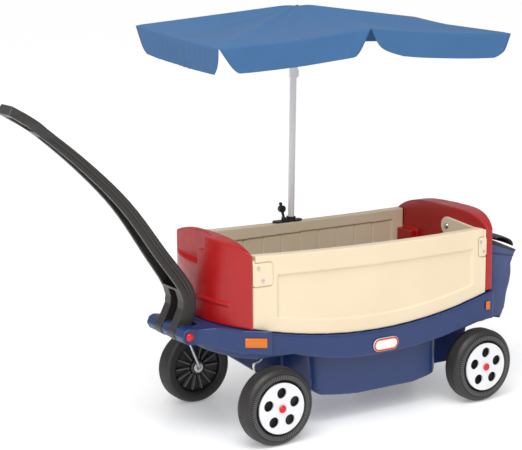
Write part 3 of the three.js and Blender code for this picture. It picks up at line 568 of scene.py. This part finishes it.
def build_canopy():
    made = bmesh.new()
    for i in range(len(RIM)):
        rows = []
        for r in range(PANEL_DOWN + 1):
            t = (r / PANEL_DOWN) ** 1.15
            rows.append([made.verts.new(canopy_point(i, c / PANEL_ACROSS, t) * MM)
                         for c in range(PANEL_ACROSS + 1)])
        a, b = RIM[i], RIM[(i + 1) % len(RIM)]
        along = (b - a)
        span = along.length
        along.normalize()
        outward = Vector((along.y, -along.x, 0))
        for r in range(1, FLAP_DOWN + 1):
            down = r / FLAP_DOWN
            row = []
            for c in range(PANEL_ACROSS + 1):
                s = c / PANEL_ACROSS
                top = canopy_point(i, s, 1)
                slants = [(slant * down + curve * down ** 7) for slant, curve in FLAP_ENDS[i]]
                left, right = (max(0.0, 1 - place / 0.42) ** 1.6 for place in (s, 1 - s))
                shift = along * (slants[0] * left - slants[1] * right)
                wave = (math.sin(s * span / 34 + i * 2.1) * 1.6
                        + noise.noise(Vector((s * 6, i * 3.3, down))) * 3)
                if i == SHORT_FLAP:
                    wave += PUCKER * math.sin(s * span / 4.2) * noise.noise(Vector((s * 9, 2.0, down * 1.5)))
                row.append(made.verts.new((top + shift + outward * (-3 * down + wave * down)
                                           + Vector((0, 0, -FLAP_DROP * down))) * MM))
            rows.append(row)
        for upper, lower in zip(rows, rows[1:]):
            for c in range(PANEL_ACROSS):
                made.faces.new((upper[c], upper[c + 1], lower[c + 1], lower[c]))
    bmesh.ops.remove_doubles(made, verts=made.verts, dist=0.05 * MM)
    bmesh.ops.recalc_face_normals(made, faces=made.faces)
    mesh = bpy.data.meshes.new("canopy_cover")
    made.to_mesh(mesh)
    made.free()
    mesh.polygons.foreach_set("use_smooth", [True] * len(mesh.polygons))
    mesh.materials.append(canopy_blue)
    piece = bpy.data.objects.new("canopy_cover", mesh)
    bpy.context.scene.collection.objects.link(piece)
    fine = piece.modifiers.new("fine", "SUBSURF")
    fine.levels = fine.render_levels = 1
    cloth = piece.modifiers.new("cloth", "SOLIDIFY")
    cloth.thickness, cloth.offset = 1.2 * MM, -1
    return piece


canopy = build_canopy()
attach(canopy, "umbrella")
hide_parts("canopy")


# ---- Storage bag ----
# A sewn box of navy polyester hung on the rear wall, open at the top under a black flap, with piped seams.
# The cloth hollows between its corners and gathers slightly towards the narrow bottom.
bag_navy = woven_cloth("polyester_plain_woven_navy", "2A3B68", "354778", 2.0, 0.12)
bag_black = woven_cloth("polyester_plain_woven_black", "0C0C0E", "151518", 2.0, 0.1)
bag_low, bag_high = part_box("bag_body")
BAG_HALF = (bag_high.y - bag_low.y) / 2 / MM
WALL_BACK, WALL_BOW, WALL_HALF = 482, 46, 231  # rear wall's outer face on the centre line, bow and half width
BAG_GAP, BAG_FRONT = 14, 471
# one row for each level from the mouth to the bottom seam: height in front, height behind, place of the back
BAG_ROWS = ((492, 437, 598), (445, 421, 590), (425, 395, 580), (370, 345, 573), (310, 295, 564),
            (262, 256, 557), (246, 236, 541), (238, 224, 529))
BAG_AROUND = 96
SQUARENESS = 2 / 7  # low values give the plan of the bag tighter corners


def wall_face(y):
    return WALL_BACK - WALL_BOW * (abs(y) / WALL_HALF) ** 2.6


def bag_ring(level, proud=0.0):
    """One loop of the bag at a level between two rows, standing proud of the cloth by some millimetres."""
    row = min(int(level), len(BAG_ROWS) - 2)
    front_z, rear_z, rear = (a + (b - a) * (level - row) for a, b in zip(BAG_ROWS[row], BAG_ROWS[row + 1]))
    slack = math.sin(math.pi * level / (len(BAG_ROWS) - 1))
    loop = []
    for k in range(BAG_AROUND):
        angle = 2 * math.pi * k / BAG_AROUND
        fore_aft, sideways = (math.copysign(abs(part) ** SQUARENESS, part)
                              for part in (math.cos(angle), math.sin(angle)))
        y = (BAG_HALF - 6 + proud) * sideways
        front = wall_face(y) + BAG_GAP
        x = front + (rear - front) * (0.5 + 0.5 * fore_aft)
        z = front_z + (rear_z - front_z) * (x - BAG_FRONT) / (rear - BAG_FRONT)
        fold = (noise.noise(Vector((k * 0.21, level * 0.55, 3.1))) * 7
                + noise.noise(Vector((k * 0.6, level, 9.0))) * 3)
        if fore_aft > -0.9:
            y += sideways * (fold - 4) * slack
            x += max(0.0, fore_aft) * (fold * slack + proud)
        loop.append(BODY + Vector((x, y, z)))
    return loop


def bag_band(top, bottom, rows, proud=0.0, closed=False):
    """Vertices and faces of the bag's cloth, or of a tape on it, between two levels."""
    vertices, faces = [], []
    for r in range(rows + 1):
        vertices += bag_ring(top + (bottom - top) * r / rows, proud)
    for r in range(rows):
        for k in range(BAG_AROUND):
            a, b = r * BAG_AROUND + k, r * BAG_AROUND + (k + 1) % BAG_AROUND
            faces.append((a, a + BAG_AROUND, b + BAG_AROUND, b))
    if closed:
        faces.append(tuple(rows * BAG_AROUND + k for k in range(BAG_AROUND)))
    return vertices, faces


def give_thickness(piece, millimetres):
    cloth = piece.modifiers.new("cloth", "SOLIDIFY")
    cloth.thickness, cloth.offset = millimetres * MM, 0


bag = new_piece("bag_shell", *bag_band(0, len(BAG_ROWS) - 1, 42, closed=True), bag_navy, "chassis")
give_thickness(bag, 1.6)
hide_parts("bag_body")
# black binding tape round the mouth, a sewn seam below it and piping round the bottom
for name, top, bottom in (("bag_mouth_tape", 0.0, 0.32), ("bag_seam_tape", 0.95, 1.06),
                          ("bag_foot_piping", 6.6, 6.98)):
    tape = new_piece(name, *bag_band(top, bottom, 3, 1.4), bag_black, "chassis")
    give_thickness(tape, 1.2)

# the flap: stiffened black cloth that arches over the mouth from a sewn hinge, with its lip turned down
FLAP_SIDE = ((498.5, 488), (503, 492.5), (512, 495), (530, 493.5), (548, 488.5), (560, 482), (567, 474),
             (569, 467), (569.5, 462))
FLAP_HALF, FLAP_COLUMNS = 176, 40
vertices, faces = [], []
for x, z in FLAP_SIDE:
    for c in range(FLAP_COLUMNS + 1):
        across = 2 * c / FLAP_COLUMNS - 1
        lift = noise.noise(Vector((across * 3, x * 0.02, 5.0))) * 1.6 * (x - FLAP_SIDE[0][0]) / 70
        droop = 5 * abs(across) ** 6 * min(1, (x - FLAP_SIDE[0][0]) / 30)
        vertices.append(BODY + Vector((x, FLAP_HALF * across, z + lift - droop)))
for r in range(len(FLAP_SIDE) - 1):
    for c in range(FLAP_COLUMNS):
        a = r * (FLAP_COLUMNS + 1) + c
        faces.append((a, a + FLAP_COLUMNS + 1, a + FLAP_COLUMNS + 2, a + 1))
flap = new_piece("bag_flap_cloth", vertices, faces, bag_black, "bag_flap")
flap_curve = flap.modifiers.new("curve", "SUBSURF")
flap_curve.levels = flap_curve.render_levels = 2
give_thickness(flap, 3.0)
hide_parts("bag_lid")

# two webbing straps, sewn to the mouth of the bag and riveted to the rear wall
STRAP_Y, STRAP_HALF = 150, 16
# distance out from the wall, and height
STRAP_SIDE = ((0.8, 496), (4, 497), (9, 494), (16, 489.5), (22, 485), (26, 482.5))
for name, side in (("near", -1), ("far", 1)):
    vertices, faces = [], []
    for out, z in STRAP_SIDE:
        for across in (-1, -0.5, 0, 0.5, 1):
            y = side * STRAP_Y + STRAP_HALF * across
            vertices.append(BODY + Vector((wall_face(y) + out, y, z)))
    for r in range(len(STRAP_SIDE) - 1):
        for c in range(4):
            a = r * 5 + c
            faces.append((a, a + 5, a + 6, a + 1))
    strap = new_piece("bag_webbing_" + name, vertices, faces, bag_black, "chassis")
    give_thickness(strap, 1.8)
    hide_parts("bag_strap_" + name)
